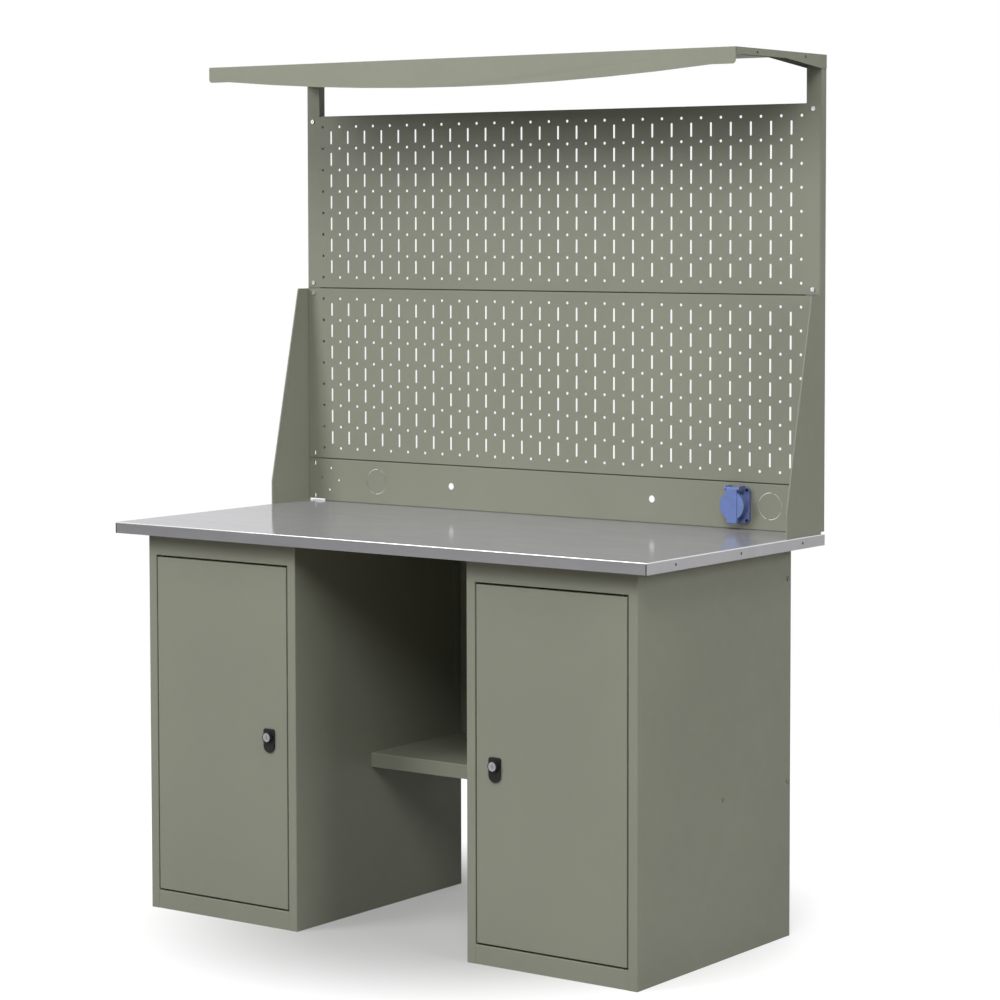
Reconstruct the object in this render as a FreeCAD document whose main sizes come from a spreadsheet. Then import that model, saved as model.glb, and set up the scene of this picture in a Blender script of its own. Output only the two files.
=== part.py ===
import FreeCAD, Part
import math
import os
import re
import Sketcher

# A workbench of folded sheet steel: two cupboards carry a steel-covered counter, and a
# perforated screen with a canopy stands along its back edge. Millimetres, +Z up, the front
# faces -Y, and the origin is on the floor under the middle of the counter.

DRIVING_SIZES = {
    # Counter: a board core in a folded steel cover.
    "counter_width": 1398.0,
    "counter_depth": 671.0,
    "counter_height": 852.0,
    "counter_thickness": 24.0,
    "cover_sheet": 1.2,
    "cover_bend_radius": 1.5,
    "edge_screw_pitch": 240.0,
    "edge_screw_shift": 5.0,
    "edge_screw_length": 25.0,
    "fixing_screw_inset": 34.0,
    "fixing_screw_setback": 48.0,
    "fixing_screw_spare": 5.0,
    # Cupboards under the counter.
    "counter_overhang": 54.0,
    "cupboard_width": 418.0,
    "cupboard_depth": 575.0,
    "cupboard_sheet": 1.2,
    "cupboard_bend_radius": 2.0,
    "stile_width": 22.0,
    "stile_lip_spare": 4.0,
    "plinth_height": 40.0,
    "plinth_setback": 1.0,
    "plinth_foot_depth": 30.0,
    "rail_height": 48.0,
    "rail_return_depth": 25.0,
    # Doors and the pivots that they turn on.
    "door_sheet": 1.2,
    "door_depth": 20.0,
    "door_side_gap": 3.0,
    "door_end_gap": 4.0,
    "door_bend_radius": 1.5,
    "pivot_inset": 12.0,
    "pivot_pin_radius": 3.0,
    "pivot_clearance": 0.05,
    "pivot_tail": 8.0,
    "pivot_collar_radius": 5.0,
    "pivot_end_play": 0.3,
    "bush_wall": 3.0,
    "bush_neck_wall": 1.5,
    "bush_length": 14.0,
    "bush_room": 0.8,
    "bush_tip_room": 1.0,
    # Locks in the doors.
    "lock_height": 411.0,
    "lock_inset": 47.5,
    "lock_plate_width": 29.0,
    "lock_plate_drop": 19.0,
    "lock_plate_rise": 17.5,
    "lock_plate_thickness": 4.0,
    "lock_plate_corner": 5.0,
    "lock_collar_wall": 2.2,
    "lock_collar_length": 7.0,
    "lock_barrel_wall": 2.5,
    "lock_barrel_spare": 1.0,
    "lock_hole_clearance": 0.2,
    "key_head_radius": 9.4,
    "key_head_depth": 4.0,
    "key_body_radius": 7.0,
    "key_clearance": 0.05,
    "key_proud": 0.6,
    "keyway_width": 1.4,
    "keyway_height": 8.0,
    "keyway_depth": 3.0,
    "lock_nut_wall": 4.5,
    "lock_nut_thickness": 4.0,
    "lock_tail_radius": 4.0,
    "lock_cam_gap": 0.5,
    "lock_cam_thickness": 2.5,
    "lock_cam_width": 16.0,
    "lock_cam_overlap": 7.5,
    "lock_cam_boss_height": 2.0,
    "lock_cam_boss_wall": 2.5,
    # Shelf inside each cupboard, on welded brackets.
    "shelf_height": 400.0,
    "shelf_edge": 25.0,
    "shelf_front_room": 10.0,
    "shelf_side_gap": 2.0,
    "shelf_back_gap": 4.0,
    "bracket_sheet": 1.5,
    "bracket_ledge": 15.0,
    "bracket_leg": 22.0,
    "bracket_width": 20.0,
    "bracket_inset": 60.0,
    # Shelf across the knee space and the panel behind it.
    "knee_shelf_height": 348.0,
    "knee_shelf_edge": 31.0,
    "knee_shelf_reach": 322.5,
    "knee_panel_flange": 25.0,
    "knee_panel_headroom": 2.0,
    "side_bolt_front": 263.5,
    "side_bolt_inset": 12.0,
    "side_bolt_drop": 69.0,
    # Uprights and cheeks of the screen.
    "upright_width": 36.0,
    "upright_depth": 19.3,
    "upright_sheet": 1.5,
    "upright_foot_gap": 5.0,
    "cheek_sheet": 1.5,
    "cheek_side_gap": 0.5,
    "cheek_foot_reach": 153.5,
    "cheek_foot_height": 54.0,
    "cheek_top_reach": 56.5,
    "cheek_top_gap": 1.5,
    "cheek_back_gap": 2.5,
    "cheek_notch_reach": 16.0,
    "cheek_hem_width": 9.0,
    "cheek_stud_inset": 48.0,
    "cheek_stud_length": 9.0,
    # Boards between the uprights.
    "board_height": 400.0,
    "board_sheet": 1.2,
    "board_side_gap": 4.0,
    "board_bend_radius": 2.6,
    "board_flange_depth": 17.0,
    "board_flange_gap": 1.5,
    "board_end_trim": 1.0,
    "board_fixing_inset": 12.0,
    "board_fixing_slot": 10.0,
    "peg_pitch": 50.0,
    "peg_hole_radius": 3.25,
    "peg_slot_width": 5.2,
    "peg_slot_length": 30.5,
    "peg_end_margin": 40.0,
    "socket_panel_height": 100.5,
    "socket_panel_notch": 12.3,
    "cable_hole_radius": 7.75,
    "cable_hole_reach": 275.0,
    "knockout_radius": 29.0,
    "knockout_slit": 1.0,
    "left_knockout_inset": 202.0,
    "right_knockout_inset": 119.0,
    "ring_inset": 63.0,
    "ring_radius": 25.5,
    "ring_hole_radius": 2.5,
    "foot_screw_bite": 15.0,
    # Canopy and the arms that hold it.
    "canopy_rise": 100.0,
    "canopy_overhang": 336.8,
    "canopy_back_gap": 1.3,
    "canopy_sheet": 1.2,
    "canopy_bend_radius": 1.0,
    "lip_end_height": 34.0,
    "lip_middle_height": 61.5,
    "lip_straight_end": 58.5,
    "lip_corner_radius": 8.0,
    "canopy_flange_height": 14.5,
    "canopy_flange_gap": 1.5,
    "canopy_ear_height": 28.5,
    "canopy_ear_reach": 5.0,
    "canopy_taper_reach": 141.5,
    "canopy_screw_front": 253.7,
    "canopy_screw_back": 65.8,
    "canopy_screw_drop": 8.0,
    "canopy_screw_length": 8.0,
    "arm_sheet": 1.5,
    "arm_reach": 268.0,
    "arm_nose": 14.0,
    "arm_slope_reach": 158.0,
    "arm_shallow_height": 10.3,
    "arm_deep_height": 26.3,
    "arm_outer_height": 12.5,
    "arm_upright_gap": 2.0,
    "arm_back_gap": 2.5,
    "arm_bolt_drop": 14.5,
    # Panel socket with its hinged lid.
    "socket_inset": 196.5,
    "socket_raise": 2.25,
    "socket_flange_width": 60.0,
    "socket_flange_height": 76.0,
    "socket_flange_thickness": 6.0,
    "socket_flange_corner": 9.0,
    "socket_collar_radius": 28.0,
    "socket_collar_length": 16.0,
    "socket_barrel_radius": 26.5,
    "socket_barrel_length": 18.0,
    "socket_cutout_gap": 0.5,
    "socket_bore_radius": 20.0,
    "socket_bore_depth": 19.0,
    "socket_insert_thickness": 5.0,
    "socket_insert_clearance": 0.05,
    "socket_contact_radius": 2.4,
    "socket_contact_pitch": 19.0,
    "socket_earth_width": 8.0,
    "socket_earth_height": 3.0,
    "socket_screw_inset": 5.5,
    "socket_screw_length": 12.0,
    "lid_overhang": 2.0,
    "lid_thickness": 6.7,
    "lid_seat_gap": 0.3,
    "lid_edge_radius": 1.5,
    "lid_strip_width": 27.0,
    "lid_strip_proud": 1.4,
    "lid_strip_drop": 8.0,
    "lid_hinge_room": 1.0,
    "lid_hinge_setback": 3.0,
    "lid_knuckle_radius": 4.0,
    "lid_pin_radius": 1.5,
    "lid_pin_clearance": 0.05,
    "lid_lug_gap": 0.5,
    "lid_lug_width": 5.0,
    "lid_lug_radius": 5.0,
    # Screws and nuts that the whole bench shares.
    "screw_radius": 2.5,
    "screw_head_radius": 4.75,
    "screw_head_height": 2.75,
    "screw_recess_radius": 1.75,
    "screw_recess_depth": 1.5,
    "screw_spare": 2.0,
    "flush_head_radius": 3.0,
    "flush_head_setback": 0.2,
    "flush_shank_radius": 1.75,
    "nut_radius": 4.6,
    "nut_thickness": 4.0,
    "thread_clearance": 0.05,
    "hole_clearance": 0.4,
    "cut_overrun": 1.0,
}

# Places along the folded edges, as shares of half an edge's length.
SEAM_BOLT_SHARES = (-0.75, 0, 0.75)
FOOT_SCREW_SHARES = (-0.9, -0.45, 0, 0.45, 0.9)
# Turn of the four-hole ring and of the tabs that hold a knock-out disc, in degrees.
RING_TURN = -5
TAB_TURN = -13
TAB_WIDTH = 12
QUARTERS = range(0, 360, 90)
HEX = 6
TOUCH = 1e-4
SIDES = {"left": -1, "right": 1}
TURNS = {
    "X": FreeCAD.Rotation(FreeCAD.Vector(0, 1, 0), 90),
    "Y": FreeCAD.Rotation(FreeCAD.Vector(1, 0, 0), -90),
    "Z": FreeCAD.Rotation(),
}

# Planes and lines that several pieces share, in words of the sizes above.
COUNTER_SIDE = "(counter_width / 2)"
COUNTER_BACK = "(counter_depth / 2)"
COUNTER_UNDER = "(counter_height - counter_thickness)"
COVER_UNDER = "(counter_height - cover_sheet)"
EDGE_SCREW_LEVEL = "(counter_height - counter_thickness / 2)"
CUPBOARD_OUTER = "(counter_width / 2 - counter_overhang)"
CUPBOARD_INNER = "(counter_width / 2 - counter_overhang - cupboard_width)"
CUPBOARD_FRONT = "(-cupboard_depth / 2)"
CUPBOARD_BACK = "(cupboard_depth / 2)"
LIP_BACK = f"({CUPBOARD_FRONT} + door_depth + stile_lip_spare)"
RAIL_UNDER = f"({COUNTER_UNDER} - rail_height)"
DOOR_FOOT = "(plinth_height + door_end_gap)"
DOOR_HEAD = f"({RAIL_UNDER} - door_end_gap)"
DOOR_BACK = f"({CUPBOARD_FRONT} + door_depth)"
DOOR_FREE_EDGE = f"({CUPBOARD_INNER} + stile_width + door_side_gap)"
DOOR_HINGE_EDGE = f"({CUPBOARD_OUTER} - stile_width - door_side_gap)"
BUSH_RADIUS = "(pivot_pin_radius + bush_wall)"
BUSH_NECK_RADIUS = "(pivot_pin_radius + bush_neck_wall)"
PIVOT_DEPTH = f"({CUPBOARD_FRONT} + door_sheet + {BUSH_RADIUS} + bush_room)"
LOCK_FACE = f"({CUPBOARD_FRONT} - lock_plate_thickness - lock_collar_length)"
LOCK_BARREL_RADIUS = "(key_body_radius + lock_barrel_wall)"
LOCK_BARREL_END = f"({DOOR_BACK} + lock_nut_thickness + lock_barrel_spare)"
LOCK_CAM_FRONT = f"({LOCK_BARREL_END} + lock_cam_gap)"
LOCK_CAM_BACK = f"({LOCK_CAM_FRONT} + lock_cam_thickness)"
SHELF_FRONT = f"({LOCK_CAM_BACK} + lock_cam_boss_height + shelf_front_room)"
KNEE_SHELF_FRONT = f"({CUPBOARD_BACK} - knee_shelf_reach)"
SHELF_BOLT_LEVEL = "(knee_shelf_height - knee_shelf_edge / 2)"
REAR_BOLT_DEPTH = f"({CUPBOARD_BACK} - side_bolt_inset)"
SIDE_BOLTS = (
    (f"{CUPBOARD_BACK} - side_bolt_front", SHELF_BOLT_LEVEL),
    (REAR_BOLT_DEPTH, SHELF_BOLT_LEVEL),
    (REAR_BOLT_DEPTH, f"{COUNTER_UNDER} - side_bolt_drop"),
)
BOARD_BACK = f"({COUNTER_BACK} - upright_depth)"
BOARD_FRONT = f"({BOARD_BACK} - board_sheet)"
BOARD_SIDE = f"({COUNTER_SIDE} - board_side_gap)"
FLANGE_LINE = f"({BOARD_BACK} + board_flange_depth / 2)"
LOW_SEAM = "(counter_height + socket_panel_height)"
HIGH_SEAM = f"({LOW_SEAM} + board_height)"
BOARD_TOP = f"({HIGH_SEAM} + board_height)"
CHEEK_OUTER = f"({COUNTER_SIDE} - cheek_side_gap)"
UPRIGHT_OUTER = f"({CHEEK_OUTER} - cheek_sheet)"
UPRIGHT_INNER = f"({UPRIGHT_OUTER} - upright_width)"
UPRIGHT_MIDDLE = f"({UPRIGHT_OUTER} - upright_width / 2)"
UPRIGHT_LINE = f"({BOARD_BACK} + upright_depth / 2)"
UPRIGHT_FOOT = "(counter_height + upright_foot_gap)"
FLANGE_HALF = f"({UPRIGHT_INNER} - board_flange_gap)"
FOOT_FLANGE_HALF = f"({UPRIGHT_INNER} - socket_panel_notch)"
SCREWED_LEVELS = (
    f"{BOARD_TOP} - board_fixing_inset",
    f"{HIGH_SEAM} + board_fixing_inset",
    f"{HIGH_SEAM} - board_fixing_inset",
)
OPEN_LEVELS = (
    f"{LOW_SEAM} + board_fixing_inset",
    f"{LOW_SEAM} - board_fixing_inset",
    "counter_height + board_fixing_inset",
)
CHEEK_TOP = f"({HIGH_SEAM} - cheek_top_gap)"
CHEEK_STUD_LEVELS = (
    "counter_height + cheek_stud_inset",
    f"(counter_height + {CHEEK_TOP}) / 2",
    f"{CHEEK_TOP} - cheek_stud_inset",
)
CANOPY_TOP = f"({BOARD_TOP} + canopy_rise)"
CANOPY_UNDER = f"({CANOPY_TOP} - canopy_sheet)"
CANOPY_FRONT = f"({BOARD_FRONT} - canopy_overhang)"
CANOPY_BACK = f"({COUNTER_BACK} - canopy_back_gap)"
CANOPY_FLANGE_FACE = f"({CHEEK_OUTER} - canopy_sheet)"
CANOPY_SCREWS = tuple(
    (f"{BOARD_FRONT} - {reach}", f"{CANOPY_TOP} - canopy_screw_drop")
    for reach in ("canopy_screw_front", "canopy_screw_back")
)
ARM_UNDER = f"({CANOPY_UNDER} - arm_sheet)"
ARM_INNER = f"({UPRIGHT_INNER} - arm_sheet)"
ARM_FRONT = f"({BOARD_BACK} - arm_reach)"
ARM_BACK = f"({COUNTER_BACK} - arm_back_gap)"
ARM_BOLT = (UPRIGHT_LINE, f"{CANOPY_UNDER} - arm_bolt_drop")
SOCKET_X = f"({BOARD_SIDE} - socket_inset)"
SOCKET_Z = "(counter_height + socket_panel_height / 2 + socket_raise)"
SOCKET_FLANGE_FRONT = f"({BOARD_FRONT} - socket_flange_thickness)"
SOCKET_MOUTH = f"({SOCKET_FLANGE_FRONT} - socket_collar_length)"
SOCKET_BORE_END = f"({SOCKET_MOUTH} + socket_bore_depth)"
LID_RADIUS = "(socket_collar_radius + lid_overhang)"
LID_BACK = f"({SOCKET_MOUTH} - lid_seat_gap)"
LID_FRONT = f"({LID_BACK} - lid_thickness)"
LID_AXIS_Y = f"({SOCKET_MOUTH} - lid_hinge_setback)"
LID_AXIS_Z = f"({SOCKET_Z} + {LID_RADIUS} + lid_lug_radius + lid_hinge_room)"

doc = FreeCAD.newDocument("Workbench")
sizes = doc.addObject("Spreadsheet::Sheet", "Sizes")
for row, (name, number) in enumerate(DRIVING_SIZES.items(), start=1):
    sizes.set(f"A{row}", name)
    sizes.set(f"B{row}", str(number))
    sizes.setAlias(f"B{row}", name)
doc.recompute()

nodes = {}
hex_nuts = []


def bound(words):
    """The expression for words written in the names of the sizes."""
    return re.sub(r"\b([a-z]+(?:_[a-z]+)+)\b", r"Sizes.\1", words)


def tie(thing, prop, words):
    thing.setExpression(prop, bound(words))


def value(words):
    """The length that words in the names of the sizes come to."""
    return float(sizes.evalExpression(bound(words)))


def near(place, words):
    return abs(place - value(words)) < TOUCH


def node(label, thing):
    """Gives a finished piece its name and keeps it for the parts folder."""
    thing.Label = label
    nodes[label] = thing


def across(side, near_side, far_side):
    """Low and high X of a span between two distances from the middle of the bench."""
    return (near_side, far_side) if side > 0 else (f"-({far_side})", f"-({near_side})")


def aside(side, distance):
    return distance if side > 0 else f"-({distance})"


def about(middle, width):
    """Low and high ends of a span that is centred on middle."""
    return (f"{middle} - ({width}) / 2", f"{middle} + ({width}) / 2")


def slab(x, y, z):
    """A plate between three pairs of low and high ends."""
    box = doc.addObject("Part::Box", "Plate")
    for axis, prop, (low, high) in zip("xyz", ("Length", "Width", "Height"), (x, y, z)):
        tie(box, prop, f"({high}) - ({low})")
        tie(box, f"Placement.Base.{axis}", low)
    return box


def lay_along(thing, axis, centre, low):
    """Turns a bar along an axis; centre is its two other coordinates, in X, Y, Z order."""
    thing.Placement = FreeCAD.Placement(FreeCAD.Vector(), TURNS[axis])
    others = [letter for letter in "XYZ" if letter != axis]
    for letter, words in zip(others + [axis], (*centre, low)):
        tie(thing, f"Placement.Base.{letter.lower()}", words)


def rod(axis, radius, centre, low, high):
    bar = doc.addObject("Part::Cylinder", "Bar")
    tie(bar, "Radius", radius)
    tie(bar, "Height", f"({high}) - ({low})")
    lay_along(bar, axis, centre, low)
    return bar


def hexagon(axis, radius, centre, low, high):
    bar = doc.addObject("Part::Prism", "Hexagon")
    bar.Polygon = HEX
    tie(bar, "Circumradius", radius)
    tie(bar, "Height", f"({high}) - ({low})")
    lay_along(bar, axis, centre, low)
    return bar


def group(pieces):
    """Like pieces that stay separate solids in one node."""
    together = doc.addObject("Part::Compound", "Group")
    together.Links = pieces
    return together


def union(*pieces):
    joined = doc.addObject("Part::MultiFuse", "Joined")
    joined.Shapes = list(pieces)
    joined.Refine = True
    return joined


def less(base, *tools):
    cut = doc.addObject("Part::Cut", "Cut")
    cut.Base = base
    cut.Tool = tools[0] if len(tools) == 1 else union(*tools)
    cut.Refine = True
    return cut


def shared(first, second):
    common = doc.addObject("Part::Common", "Shared")
    common.Base = first
    common.Tool = second
    return common


def pan(x, y, z, sheet, mouth):
    """A box folded from sheet with one side open, named by its direction, such as -z."""
    hollow = []
    for axis, (low, high) in zip("xyz", (x, y, z)):
        inner_low = f"{low} - cut_overrun" if mouth == f"-{axis}" else f"{low} + {sheet}"
        inner_high = f"{high} + cut_overrun" if mouth == f"+{axis}" else f"{high} - {sheet}"
        hollow.append((inner_low, inner_high))
    return less(slab(x, y, z), slab(*hollow))


def rounded(base, radius, chosen):
    """Rounds the straight edges whose middle point and direction chosen accepts."""
    doc.recompute()
    edges = []
    for number, edge in enumerate(base.Shape.Edges, start=1):
        if isinstance(edge.Curve, Part.Line):
            start, end = (vertex.Point for vertex in edge.Vertexes)
            if chosen((start + end) / 2, (end - start).normalize()):
                edges.append((number, value(radius), value(radius)))
    bend = doc.addObject("Part::Fillet", "Bend")
    bend.Base = base
    bend.Edges = edges
    return bend


def along(run, axis):
    return abs(getattr(run, axis)) > 1 - TOUCH


def outline(points, x):
    """A plate between two X ends whose edge runs through points of Y and Z."""
    body = doc.addObject("PartDesign::Body", "OutlineBody")
    plane = next(item for item in body.Origin.OriginFeatures if item.Role == "YZ_Plane")
    sketch = body.newObject("Sketcher::SketchObject", "Outline")
    sketch.AttachmentSupport = (plane, [""])
    sketch.MapMode = "FlatFace"
    tie(sketch, "AttachmentOffset.Base.z", x[0])
    corners = [FreeCAD.Vector(value(y), value(z), 0) for y, z in points]
    count = len(corners)
    for k, corner in enumerate(corners):
        sketch.addGeometry(Part.LineSegment(corner, corners[(k + 1) % count]))
    for k in range(count):
        sketch.addConstraint(Sketcher.Constraint("Coincident", k, 2, (k + 1) % count, 1))
    for k, (point, corner) in enumerate(zip(points, corners)):
        for kind, words, start in zip(("DistanceX", "DistanceY"), point, corner):
            number = sketch.addConstraint(Sketcher.Constraint(kind, -1, 1, k, 1, start))
            tie(sketch, f"Constraints[{number}]", words)
    pad = body.newObject("PartDesign::Pad", "Thickness")
    pad.Profile = sketch
    tie(pad, "Length", f"({x[1]}) - ({x[0]})")
    body.Tip = pad
    return body


def screw(axis, centre, seat, tip, heading):
    """A button-head screw with its head on seat and its shank running to tip."""
    crown = f"{seat} - screw_head_height" if heading > 0 else f"{seat} + screw_head_height"
    floor = f"{crown} + screw_recess_depth" if heading > 0 else f"{crown} - screw_recess_depth"
    head = rod(axis, "screw_head_radius", centre, *sorted_ends(crown, seat, heading))
    shank = rod(axis, "screw_radius", centre, *sorted_ends(seat, tip, heading))
    recess = hexagon(axis, "screw_recess_radius", centre, *sorted_ends(crown, floor, heading))
    return less(union(head, shank), recess)


def sorted_ends(first, last, heading):
    return (first, last) if heading > 0 else (last, first)


def bolt(axis, centre, seat, grip, heading):
    """A screw through sheets of thickness grip, with its nut on the far face."""
    sign = "+" if heading > 0 else "-"
    far_face = f"{seat} {sign} ({grip})"
    add_nut(axis, centre, far_face, heading)
    return screw(axis, centre, seat, f"{far_face} {sign} (nut_thickness + screw_spare)", heading)


def add_nut(axis, centre, face, heading):
    """A hexagon nut tight on a face, on a thread that points along heading."""
    low = face if heading > 0 else f"{face} - nut_thickness"
    high = f"{low} + nut_thickness"
    hex_nuts.append(less(hexagon(axis, "nut_radius", centre, low, high), bite(axis, centre, low, high)))


def bite(axis, centre, low, high):
    """The hole that a thread fills, a thread clearance wider and longer than the thread."""
    return rod(
        axis,
        "screw_radius + thread_clearance",
        centre,
        f"{low} - thread_clearance",
        f"{high} + thread_clearance",
    )


def screw_hole(axis, centre, low, high):
    ends = (f"{low} - cut_overrun", f"{high} + cut_overrun")
    return rod(axis, "screw_radius + hole_clearance", centre, *ends)


def flush_screw(side, place, face, sheet, length):
    """A countersunk screw whose head fills a hole in a sheet, seen end on in an X face."""
    seat = f"{face} - {sheet}"
    head = rod("X", "flush_head_radius", place, *across(side, seat, f"{face} - flush_head_setback"))
    shank = rod("X", "flush_shank_radius", place, *across(side, f"{seat} - {length}", seat))
    return union(head, shank)


def flush_hole(side, place, face, sheet):
    return rod(
        "X",
        "flush_head_radius + thread_clearance",
        place,
        *across(side, f"{face} - {sheet} - cut_overrun", f"{face} + cut_overrun"),
    )


def flush_bite(side, place, seat, length):
    return rod(
        "X",
        "flush_shank_radius + thread_clearance",
        place,
        *across(side, f"{seat} - {length} - thread_clearance", f"{seat} + cut_overrun"),
    )


# Counter: a board core in a folded steel cover, with screws in both ends.
EDGE_SCREWS = [
    (side, (f"edge_screw_shift + {step} * edge_screw_pitch", EDGE_SCREW_LEVEL))
    for side in SIDES.values()
    for step in (-1, 0, 1)
]
FIXING_SCREWS = [
    (aside(side, x), aside(end, f"{CUPBOARD_BACK} - fixing_screw_setback"))
    for side in SIDES.values()
    for x in (f"{CUPBOARD_INNER} + fixing_screw_inset", f"{CUPBOARD_OUTER} - fixing_screw_inset")
    for end in (-1, 1)
]
FIXING_TIP = f"{COVER_UNDER} - fixing_screw_spare"
FOOT_SCREWS = [(f"{share} * {FOOT_FLANGE_HALF}", FLANGE_LINE) for share in FOOT_SCREW_SHARES]
FOOT_TIP = "counter_height - foot_screw_bite"

core_side = f"({COUNTER_SIDE} - cover_sheet)"
core_end = f"({COUNTER_BACK} - cover_sheet)"
core = slab((f"-{core_side}", core_side), (f"-{core_end}", core_end), (COUNTER_UNDER, COVER_UNDER))
node(
    "counter_core",
    less(
        core,
        *[flush_bite(side, place, core_side, "edge_screw_length") for side, place in EDGE_SCREWS],
        *[bite("Z", place, COUNTER_UNDER, FIXING_TIP) for place in FIXING_SCREWS],
        *[bite("Z", place, FOOT_TIP, COVER_UNDER) for place in FOOT_SCREWS],
    ),
)


def cover_bend(middle, run):
    on_top = near(middle.z, "counter_height")
    at_corner = near(abs(middle.x), COUNTER_SIDE) and near(abs(middle.y), COUNTER_BACK)
    return on_top or at_corner


cover = pan(
    (f"-{COUNTER_SIDE}", COUNTER_SIDE),
    (f"-{COUNTER_BACK}", COUNTER_BACK),
    (COUNTER_UNDER, "counter_height"),
    "cover_sheet",
    "-z",
)
node(
    "counter_cover",
    less(
        rounded(cover, "cover_bend_radius", cover_bend),
        *[flush_hole(side, place, COUNTER_SIDE, "cover_sheet") for side, place in EDGE_SCREWS],
        *[screw_hole("Z", place, COVER_UNDER, "counter_height") for place in FOOT_SCREWS],
    ),
)
edge_screws = [
    flush_screw(side, place, COUNTER_SIDE, "cover_sheet", "edge_screw_length")
    for side, place in EDGE_SCREWS
]
node("counter_edge_screws", group(edge_screws))
fixing_screws = [
    screw("Z", place, f"{COUNTER_UNDER} - cupboard_sheet", FIXING_TIP, 1) for place in FIXING_SCREWS
]
node("counter_fixing_screws", group(fixing_screws))


def side_panel(label, side, start, inward):
    """One side of a cupboard, folded into the front stile and the lip behind it.

    Beside the door rail, which is welded on and ground flush, the corner of the stile is filled square.
    """
    def span(low, high):
        ends = (f"{start} {inward} ({low})", f"{start} {inward} ({high})")
        return across(side, *(ends if inward == "+" else ends[::-1]))

    def front_bend(middle, run):
        return along(run, "z") and near(middle.y, CUPBOARD_FRONT)

    height = ("0", COUNTER_UNDER)
    wall = slab(span("0", "cupboard_sheet"), (CUPBOARD_FRONT, CUPBOARD_BACK), height)
    stile = slab(span("0", "stile_width"), (CUPBOARD_FRONT, f"{CUPBOARD_FRONT} + cupboard_sheet"), height)
    lip = slab(span("stile_width - cupboard_sheet", "stile_width"), (CUPBOARD_FRONT, LIP_BACK), height)
    folded = rounded(union(wall, stile, lip), "cupboard_bend_radius", front_bend)
    weld = slab(
        span("stile_width - cupboard_bend_radius", "stile_width"),
        (CUPBOARD_FRONT, f"{CUPBOARD_FRONT} + cupboard_sheet"),
        (RAIL_UNDER, COUNTER_UNDER),
    )
    holes = [screw_hole("X", place, *span("0", "cupboard_sheet")) for place in SIDE_BOLTS]
    node(label, less(union(folded, weld), *holes))


def cupboard_ends(name, side):
    """The floor with its plinth, the top with its door rail, and the back between the sides."""
    inside = across(side, f"{CUPBOARD_INNER} + cupboard_sheet", f"{CUPBOARD_OUTER} - cupboard_sheet")
    doorway = across(side, f"{CUPBOARD_INNER} + stile_width", f"{CUPBOARD_OUTER} - stile_width")
    room = (LIP_BACK, f"{CUPBOARD_BACK} - cupboard_sheet")
    plinth = f"({CUPBOARD_FRONT} + plinth_setback)"
    axis = pivot_axis(side)

    floor = ("plinth_height - cupboard_sheet", "plinth_height")
    floor_panel = union(
        slab(inside, room, floor),
        slab(doorway, (plinth, LIP_BACK), floor),
        slab(doorway, (plinth, f"{plinth} + cupboard_sheet"), ("0", "plinth_height")),
        slab(doorway, (plinth, f"{plinth} + plinth_foot_depth"), ("0", "cupboard_sheet")),
    )

    def plinth_bend(middle, run):
        return along(run, "x") and near(middle.y, plinth) and near(middle.z, "plinth_height")

    folded_floor = rounded(floor_panel, "cupboard_bend_radius", plinth_bend)
    node(f"{name}_floor_panel", less(folded_floor, pin_hole(axis, *floor)))

    top = (f"{COUNTER_UNDER} - cupboard_sheet", COUNTER_UNDER)
    rail_return = (RAIL_UNDER, f"{RAIL_UNDER} + cupboard_sheet")
    top_panel = union(
        slab(inside, room, top),
        slab(doorway, (CUPBOARD_FRONT, LIP_BACK), top),
        slab(doorway, (CUPBOARD_FRONT, f"{CUPBOARD_FRONT} + cupboard_sheet"), (RAIL_UNDER, COUNTER_UNDER)),
        slab(doorway, (CUPBOARD_FRONT, f"{CUPBOARD_FRONT} + rail_return_depth"), rail_return),
    )

    def rail_bend(middle, run):
        return along(run, "x") and near(middle.y, CUPBOARD_FRONT) and near(middle.z, RAIL_UNDER)

    folded_top = rounded(top_panel, "cupboard_bend_radius", rail_bend)
    own_screws = [place for place in FIXING_SCREWS if value(place[0]) * side > 0]
    screw_holes = [screw_hole("Z", place, *top) for place in own_screws]
    node(f"{name}_top_panel", less(folded_top, pin_hole(axis, *rail_return), *screw_holes))

    back = (f"{CUPBOARD_BACK} - cupboard_sheet", CUPBOARD_BACK)
    node(f"{name}_back", slab(inside, back, ("0", COUNTER_UNDER)))


def pivot_axis(side):
    return (aside(side, f"{DOOR_HINGE_EDGE} - pivot_inset"), PIVOT_DEPTH)


def pin_hole(axis, low, high):
    radius = "pivot_pin_radius + thread_clearance"
    return rod("Z", radius, axis, f"{low} - cut_overrun", f"{high} + cut_overrun")


def pivots(name, side):
    """Collared pins in the cupboard, and the flanged bushes in the door that turn on them."""
    axis = pivot_axis(side)
    lower_pin = union(
        rod(
            "Z",
            "pivot_pin_radius",
            axis,
            "plinth_height - cupboard_sheet - pivot_tail",
            f"{DOOR_FOOT} + bush_length - bush_tip_room",
        ),
        rod("Z", "pivot_collar_radius", axis, "plinth_height", f"{DOOR_FOOT} - pivot_end_play"),
    )
    upper_pin = union(
        rod(
            "Z",
            "pivot_pin_radius",
            axis,
            f"{DOOR_HEAD} - bush_length + bush_tip_room",
            f"{RAIL_UNDER} + cupboard_sheet + pivot_tail",
        ),
        rod("Z", "pivot_collar_radius", axis, f"{DOOR_HEAD} + pivot_end_play", RAIL_UNDER),
    )
    node(f"{name}_hinge_pins", group([lower_pin, upper_pin]))

    lower_bush = pivot_bush(axis, DOOR_FOOT, f"{DOOR_FOOT} + door_sheet", f"{DOOR_FOOT} + bush_length")
    upper_bush = pivot_bush(axis, DOOR_HEAD, f"{DOOR_HEAD} - door_sheet", f"{DOOR_HEAD} - bush_length")
    node(f"{name}_hinge_bushes", group([lower_bush, upper_bush]))


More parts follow.
